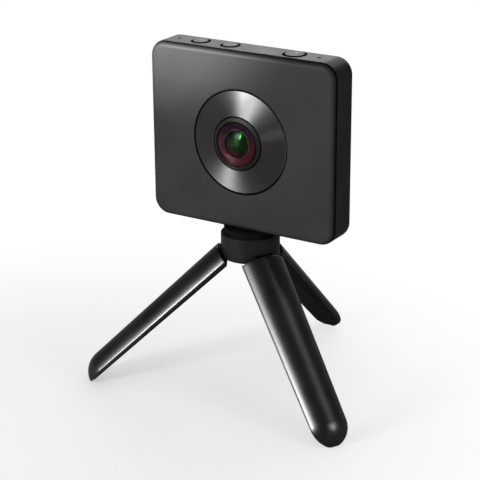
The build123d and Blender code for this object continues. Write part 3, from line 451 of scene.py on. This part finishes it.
def lathe(name, profile, place, segments=160):
    """A closed shape turned about its own Z axis and put in place by a matrix. Each profile point
    is (radius, height, material index of the face to the next point, whether its edge is sharp).
    """
    form = bmesh.new()
    turns = [2 * math.pi * i / segments for i in range(segments)]
    loops = []
    for radius, height, slot, sharp in profile:
        if radius == 0:
            loops.append([form.verts.new(place @ Vector((0, 0, height)))] * segments)
            continue
        loops.append([form.verts.new(place @ Vector((radius * math.cos(t), radius * math.sin(t),
                                                     height))) for t in turns])
    for k, (radius, height, slot, sharp) in enumerate(profile):
        following = (k + 1) % len(profile)
        if radius == 0 and profile[following][0] == 0:
            continue
        here, there = loops[k], loops[following]
        for i in range(segments):
            j = (i + 1) % segments
            corners = []
            for v in (here[i], here[j], there[j], there[i]):
                if v not in corners:
                    corners.append(v)
            face = form.faces.new(corners)
            face.smooth = True
            face.material_index = slot
        if sharp and radius > 0:
            for i in range(segments):
                form.edges.get((here[i], here[(i + 1) % segments])).smooth = False
    bmesh.ops.recalc_face_normals(form, faces=form.faces[:])
    return new_piece(name, form)


def lens_place(side):
    """Local Z points out of the lens: side -1 is the front of the case and 1 its back."""
    return Matrix.Translation(lens_centre) @ Matrix.Rotation(math.radians(-90 * side), 4, "X")


def arc(radius_edge, height_edge, height_top, slot, steps=14):
    """Profile points of a spherical cap from its edge towards its top, without the top itself."""
    rise = height_top - height_edge
    ball = (radius_edge ** 2 + rise ** 2) / (2 * rise)
    reach = math.asin(radius_edge / ball)
    points = []
    for k in range(steps):
        a = reach * (1 - k / steps)
        points.append((ball * math.sin(a), height_top - ball * (1 - math.cos(a)), slot, k == 0))
    return points


def dress(piece, body, *paints):
    for paint in paints:
        piece.data.materials.append(paint)
    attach(piece, body)
    return piece


# ---- lens glass: a thick dome, hollowed from behind, on a flange ----

DOME_RIM = 8.45 * MM
DOME_RIM_HEIGHT = 9.45 * MM
DOME_TOP = 12.0 * MM
DOME_FLANGE = 8.93 * MM
DOME_FLANGE_TOP = 8.95 * MM
DOME_BACK = 8.20 * MM
HOLLOW_RIM = 4.75 * MM
HOLLOW_TOP = 10.60 * MM
GROUND_EDGE = 0.22 * MM
OUTSIDE, HOLLOW, INK_AND_PAINTED_REFLECTION, GROUND = range(4)

for end, side in (("front", -1), ("rear", 1)):
    profile = arc(DOME_RIM, DOME_RIM_HEIGHT, DOME_TOP, OUTSIDE)
    profile.append((0, DOME_TOP, OUTSIDE, False))
    profile.append((0, HOLLOW_TOP, HOLLOW, False))
    hollow = arc(HOLLOW_RIM, DOME_BACK + GROUND_EDGE, HOLLOW_TOP, HOLLOW)
    profile += reversed(hollow[1:])
    profile += [(HOLLOW_RIM, DOME_BACK + GROUND_EDGE, GROUND, True),
                # These faces carry the dark ink and its painted reflection.
                (HOLLOW_RIM + GROUND_EDGE, DOME_BACK, INK_AND_PAINTED_REFLECTION, True),
                (DOME_FLANGE, DOME_BACK, INK_AND_PAINTED_REFLECTION, True),
                (DOME_FLANGE, DOME_FLANGE_TOP, OUTSIDE, True),
                (DOME_RIM, DOME_FLANGE_TOP, OUTSIDE, True)]
    dome = dress(lathe(end + "_dome_glass", profile, lens_place(side)), "camera",
                 dome_outside, dome_hollow, dome_ink_and_painted_reflection, dome_ground)
    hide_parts(end + "_dome")


# ---- trim rings: a spun cone between two polished chamfers ----

RING_OUTER = 19.5 * MM
RING_INNER = 10.15 * MM
RING_BASE = 6.0 * MM
RING_LOW = 7.0 * MM
RING_HIGH = 8.9 * MM
RING_SEGMENTS = 240
OUTER_CHAMFER = 0.34 * MM
INNER_CHAMFER = 0.16 * MM
CONE, POLISHED, WALL_PAINTED_SHADE = range(3)

for end, side in (("front", -1), ("rear", 1)):
    # The walls and underside take the black rubber paint, as painted shade in the gaps beside the
    # ring.
    profile = [(RING_OUTER, RING_BASE, WALL_PAINTED_SHADE, True),
               (RING_OUTER, RING_LOW - OUTER_CHAMFER, POLISHED, True),
               (RING_OUTER - OUTER_CHAMFER, RING_LOW, CONE, True),
               (RING_INNER + INNER_CHAMFER, RING_HIGH, POLISHED, True),
               (RING_INNER, RING_HIGH - INNER_CHAMFER, WALL_PAINTED_SHADE, True),
               (RING_INNER, RING_BASE, WALL_PAINTED_SHADE, True)]
    ring = dress(lathe(end + "_trim_ring", profile, lens_place(side), RING_SEGMENTS), "camera",
                 materials["trim_ring"], ring_polish, materials["rubber"])
    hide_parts(end + "_lens_ring")


# ---- leg shells: a wedge of a tapered tube with rounded edges and a rounded tip ----

LEG_AZIMUTHS = {"back": 90, "left": 210, "right": 330}
LEG_SPREAD = math.radians(47.4)
LEG_HALF_ANGLE = math.radians(58.2)
LEG_TOP = 4.65 * MM
LEG_DOME_CENTRE = 70.7 * MM
LEG_TOP_RADIUS = 10.5 * MM
LEG_TIP_RADIUS = 9.1 * MM
LEG_FLAT = 2.9 * MM
LEG_WALL = 1.4 * MM
LEG_MOUTH_WALL = 0.6 * MM
LEG_MOUTH_DEPTH = 1.6 * MM
LEG_ROUNDING_START = 71.5 * MM
LEG_ROUNDNESS = 4.0
LEG_EDGE = 0.40 * MM
LEG_EDGE_SHARE = 0.3
LEG_TOP_EDGE = 0.25 * MM
HINGE_RADIUS = 6.5 * MM
FOOT_TRIM = 0.25 * MM
LEG_END = LEG_DOME_CENTRE + math.sqrt(LEG_TIP_RADIUS ** 2 - LEG_FLAT ** 2)
HINGE_HEIGHT = ((HINGE_RADIUS - LEG_FLAT) * math.sin(LEG_SPREAD) + LEG_END * math.cos(LEG_SPREAD)
                - FOOT_TRIM)
EDGE_TURNS = (0, 30, 60)
ARC_STEPS = 36
TOP_EDGE_STEPS = 4
STICK_STEPS = 20
TIP_STEPS = 24
SAME_POINT = 1e-6
NO_LENGTH = 1e-7


def leg_section(down):
    """Points across a leg shell at a distance down its stick, outside and then inside, as lists
    of (radius, angle) pairs."""
    if down < LEG_DOME_CENTRE:
        share = (down - LEG_TOP) / (LEG_DOME_CENTRE - LEG_TOP)
        outer = LEG_TOP_RADIUS + (LEG_TIP_RADIUS - LEG_TOP_RADIUS) * share
        inner = outer - LEG_WALL
    else:
        past = down - LEG_DOME_CENTRE
        outer = math.sqrt(max(LEG_TIP_RADIUS ** 2 - past ** 2, LEG_FLAT ** 2))
        inner = math.sqrt(max((LEG_TIP_RADIUS - LEG_WALL) ** 2 - past ** 2, 0))
    mouth = min((down - LEG_TOP) / LEG_MOUTH_DEPTH, 1)
    inner += (LEG_WALL - LEG_MOUTH_WALL) * (1 - mouth)
    top = max(1 - (down - LEG_TOP) / LEG_TOP_EDGE, 0)
    outer -= LEG_TOP_EDGE * (1 - math.sqrt(1 - top ** 2))
    reach = max((down - LEG_ROUNDING_START) / (LEG_END - LEG_ROUNDING_START), 0)
    half = LEG_HALF_ANGLE * max(1 - reach ** LEG_ROUNDNESS, 0) ** (1 / LEG_ROUNDNESS)
    edge = min(LEG_EDGE, LEG_EDGE_SHARE * half * outer)
    angles, radii = [], []
    for turn in EDGE_TURNS:
        a = math.radians(turn)
        angles.append(-half + edge * (1 - math.cos(a)) / outer)
        radii.append(outer - edge * (1 - math.sin(a)))
    bend = half - edge / outer
    middle = [bend * (2 * k / ARC_STEPS - 1) for k in range(ARC_STEPS + 1)]
    radii = radii + [outer] * len(middle) + radii[::-1]
    angles = angles + middle + [-a for a in angles[::-1]]
    inside = [min(max(inner, LEG_FLAT / math.cos(a)), r) for r, a in zip(radii, angles)]
    return list(zip(radii, angles)), list(zip(inside, angles))


def leg_stations():
    """Distances down the stick at which the shell has a row of points."""
    stick = LEG_DOME_CENTRE - LEG_TOP - LEG_MOUTH_DEPTH
    swing = math.asin((LEG_END - LEG_DOME_CENTRE) / LEG_TIP_RADIUS)
    return ([LEG_TOP + LEG_TOP_EDGE * k / TOP_EDGE_STEPS for k in range(TOP_EDGE_STEPS)]
            + [LEG_TOP + LEG_TOP_EDGE, LEG_TOP + LEG_MOUTH_DEPTH]
            + [LEG_TOP + LEG_MOUTH_DEPTH + stick * k / STICK_STEPS for k in range(1, STICK_STEPS)]
            + [LEG_DOME_CENTRE + LEG_TIP_RADIUS * math.sin(swing * k / TIP_STEPS)
               for k in range(TIP_STEPS)])


def leg_shell(name, azimuth):
    """The shell of the leg that spreads to an azimuth. What would reach below the floor is
    flattened onto it."""
    around = Matrix.Rotation(math.radians(azimuth), 3, "Z")
    up = around @ Vector((-math.sin(LEG_SPREAD), 0, math.cos(LEG_SPREAD)))
    out = around @ Vector((math.cos(LEG_SPREAD), 0, math.sin(LEG_SPREAD)))
    across = up.cross(out)
    start = around @ Vector((HINGE_RADIUS, 0, HINGE_HEIGHT)) - out * HINGE_RADIUS
    form = bmesh.new()

    def corner(radius, angle, down):
        at = start + (out * math.cos(angle) + across * math.sin(angle)) * radius - up * down
        at.z = max(at.z, 0)
        return form.verts.new(at)

    rows = []
    for down in leg_stations():
        outside, inside = leg_section(down)
        rows.append([corner(r, a, down) for r, a in outside + inside[::-1]])
    tip = corner(LEG_FLAT, 0, LEG_END)
    count = len(rows[0])
    first, last = rows[0], rows[-1]
    for here, there in zip(rows, rows[1:]):
        for k in range(count):
            beside = (k + 1) % count
            form.faces.new((here[k], here[beside], there[beside], there[k]))
    for k in range(count):
        form.faces.new((last[k], last[(k + 1) % count], tip))
    for k in range(count // 2 - 1):
        form.faces.new((first[k + 1], first[k], first[count - 1 - k], first[count - 2 - k]))
    for face in form.faces:
        face.smooth = True
    for k in (0, count // 2 - 1, count // 2, count - 1):
        for here, there in zip(rows, rows[1:]):
            form.edges.get((here[k], there[k])).smooth = False
    for k in range(count // 2, count - 1):
        form.edges.get((first[k], first[k + 1])).smooth = False
    bmesh.ops.remove_doubles(form, verts=form.verts[:], dist=SAME_POINT)
    bmesh.ops.dissolve_degenerate(form, edges=form.edges[:], dist=NO_LENGTH)
    bmesh.ops.recalc_face_normals(form, faces=form.faces[:])
    return new_piece(name, form)


for end, azimuth in LEG_AZIMUTHS.items():
    shell = dress(leg_shell(end + "_leg_shell", azimuth), "leg_" + end, materials["leg_shell"])
    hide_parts("leg_shell_" + end)


# ---- red mark on the shutter button, set a little into its top ----

MARK_RADIUS = 0.75 * MM
MARK_TOP = 0.13 * MM
MARK_BASE = -0.10 * MM
MARK_SUNK = 0.05 * MM
MARK_BACK = 1.3 * MM
MARK_STEPS = 6
MARK_SEGMENTS = 48

cap_low, cap_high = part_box("shutter_button")
mark_place = Matrix.Translation(((cap_low.x + cap_high.x) / 2, MARK_BACK, cap_high.z - MARK_SUNK))
profile = arc(MARK_RADIUS, 0.0, MARK_TOP, 0, MARK_STEPS)
profile += [(0, MARK_TOP, 0, False), (0, MARK_BASE, 0, False), (MARK_RADIUS, MARK_BASE, 0, True)]
mark = dress(lathe("shutter_mark", profile, mark_place, MARK_SEGMENTS), "shutter_button",
             mark_paint)


# ---- floor and surroundings ----
# The camera sees both as white, and the floor with shadows near the object. What gloss and glass
# show of them is darker on the right.

RIGHTWARD = (0.985, -0.174, 0.0)
UPWARD = (0, 0, 1)
WHITE = grey(1.0)

FLOOR_REACH = 3.0
FLOOR_SEGMENTS = 96
FLOOR_TONE = 0.90
FLOOR_TONE_DRIFT = 0.02
FLOOR_TONE_IN_GLOSS = 0.06
FLOOR_ROUGHNESS = 0.9
FLOOR_MOTTLE = 0.05
FLOOR_GRAIN = 2 * MM
FLOOR_RELIEF = 0.02 * MM
FLOOR_GLOW = 1.0
FLOOR_GLOW_NEAR = 0.42
FLOOR_GLOW_FAR = 1.0
SHADE_CENTRE = (-0.04, -0.06, 0.0)
SHADE_INSIDE = 0.05
SHADE_OUTSIDE = 0.20
GLOSS_SHARE_LEFT = 0.16
GLOSS_SHARE_RIGHT = 0.05
GLOSS_LEFT_END = -0.12
GLOSS_RIGHT_END = 0.02

SURROUND_FILL = 0.55
SURROUND_GLOSS_LOW = 0.22
SURROUND_GLOSS_HIGH = 0.03
SURROUND_GLOSS_RIGHT = 0.06
SURROUND_LEFT_END = -0.3
SURROUND_RIGHT_END = 0.6
HORIZON = 0.0
HORIZON_TOP = 0.35


def ray_kinds(g):
    """(1 for rays straight from the camera, 1 for rays that come by way of gloss or glass)."""
    rays = g.add("ShaderNodeLightPath").outputs
    return rays["Is Camera Ray"], g.math("MAXIMUM", rays["Is Glossy Ray"],
                                         rays["Is Transmission Ray"])


form = bmesh.new()
bmesh.ops.create_circle(form, cap_ends=True, segments=FLOOR_SEGMENTS, radius=FLOOR_REACH)
floor = new_piece("floor", form)

g = new_graph("pale_floor")
straight, indirect = ray_kinds(g)
pale = g.blend(g.noise(FLOOR_MOTTLE, detail=2.0), grey(FLOOR_TONE - FLOOR_TONE_DRIFT),
               grey(FLOOR_TONE + FLOOR_TONE_DRIFT))
g.fill(g.blend(indirect, pale, grey(FLOOR_TONE_IN_GLOSS)), FLOOR_ROUGHNESS,
       g.bump(g.noise(FLOOR_GRAIN), FLOOR_RELIEF), Specular_IOR_Level=0.0)
glow = g.add("ShaderNodeEmission", Color=WHITE, Strength=FLOOR_GLOW)
shown = g.ramp(g.radius(SHADE_CENTRE, "Z"), SHADE_INSIDE, SHADE_OUTSIDE,
               FLOOR_GLOW_NEAR, FLOOR_GLOW_FAR)
reflected = g.ramp(g.along(g.place, RIGHTWARD), GLOSS_LEFT_END, GLOSS_RIGHT_END,
                   GLOSS_SHARE_LEFT, GLOSS_SHARE_RIGHT)
share = g.math("ADD", g.math("MULTIPLY", straight, shown), g.math("MULTIPLY", indirect, reflected))
g.mixed(share, g.shader.outputs[0], glow.outputs[0], g.output.inputs["Surface"])
floor.data.materials.append(g.owner)

scene.world = bpy.data.worlds.new("studio")
g = Graph(scene.world)
heading = g.add("ShaderNodeTexCoord").outputs["Generated"]
low_light = g.ramp(g.along(heading, RIGHTWARD), SURROUND_LEFT_END, SURROUND_RIGHT_END,
                   SURROUND_GLOSS_LOW, SURROUND_GLOSS_RIGHT)
band = g.ramp(g.along(heading, UPWARD), HORIZON, HORIZON_TOP, low_light, SURROUND_GLOSS_HIGH)
straight, indirect = ray_kinds(g)
shown = g.add("ShaderNodeBackground", Color=WHITE, Strength=g.math("MAXIMUM", straight, band))
fill = g.add("ShaderNodeBackground", Color=WHITE, Strength=SURROUND_FILL)
g.mixed(g.math("MAXIMUM", straight, indirect), fill.outputs[0], shown.outputs[0],
        g.add("ShaderNodeOutputWorld").inputs["Surface"])


# ---- lamps ----

MIDDLE = (0, 0, 0.09)
CORNER = (-0.036, -0.007, 0.154)
SPOT_SOFTNESS = 0.006


def hang(name, data, place, aim):
    """A lamp at place that faces aim, and that the camera doesn't see."""
    lamp = bpy.data.objects.new(name, data)
    lamp.visible_camera = False
    scene.collection.objects.link(lamp)
    lamp.location = place
    lamp.rotation_euler = (Vector(aim) - Vector(place)).to_track_quat("-Z", "Y").to_euler()


def softbox(name, place, width, height, power):
    """A rectangular soft light that faces the middle of the object."""
    data = bpy.data.lights.new(name, "AREA")
    data.shape = "RECTANGLE"
    data.size = width
    data.size_y = height
    data.energy = power
    hang(name, data, place, MIDDLE)


def soft_spot(name, place, aim, reach, power):
    """A spotlight with a soft edge, which lights a patch of that reach across the aim."""
    data = bpy.data.lights.new(name, "SPOT")
    data.energy = power
    data.spot_size = 2 * math.atan(reach / 2 / (Vector(aim) - Vector(place)).length)
    data.spot_blend = 1.0
    data.shadow_soft_size = SPOT_SOFTNESS
    hang(name, data, place, aim)


softbox("key_softbox", (-0.177, -0.461, 0.168), width=0.08, height=0.10, power=1.05)
softbox("wide_softbox", (-0.175, -0.433, 0.269), width=0.16, height=0.10, power=0.20)
softbox("back_softbox", (-0.260, 0.371, 0.301), width=0.20, height=0.20, power=0.28)
softbox("rear_softbox", (-0.038, 0.431, 0.340), width=0.30, height=0.30, power=0.33)
softbox("right_softbox", (0.317, 0.056, 0.473), width=0.20, height=0.20, power=0.07)
softbox("side_softbox", (0.476, -0.084, 0.219), width=0.16, height=0.16, power=0.35)
soft_spot("corner_spot", (-0.217, -0.414, 0.232), CORNER, reach=0.104, power=36.0)


# ---- camera, at the photograph's viewing angle ----

VIEW_PLACE = (0.29355, -0.47599, 0.26827)
VIEW_RIGHT = Vector((0.84876, 0.52874, -0.00659))
VIEW_UP = Vector((-0.18086, 0.30199, 0.93600))
VIEW_FORWARD = Vector((-0.49689, 0.79324, -0.35194))
SENSOR_WIDTH_MM = 36.0
FOCAL_LENGTH_MM = 119.45
NEAREST_SEEN = 0.01

data = bpy.data.cameras.new("photo_camera")
data.sensor_fit = "HORIZONTAL"
data.sensor_width = SENSOR_WIDTH_MM
data.lens = FOCAL_LENGTH_MM
data.clip_start = NEAREST_SEEN
camera = bpy.data.objects.new("photo_camera", data)
scene.collection.objects.link(camera)
turn = Matrix((VIEW_RIGHT, VIEW_UP, -VIEW_FORWARD)).transposed()
camera.matrix_world = Matrix.Translation(VIEW_PLACE) @ turn.to_4x4()
scene.camera = camera

scene.view_settings.view_transform = "Standard"
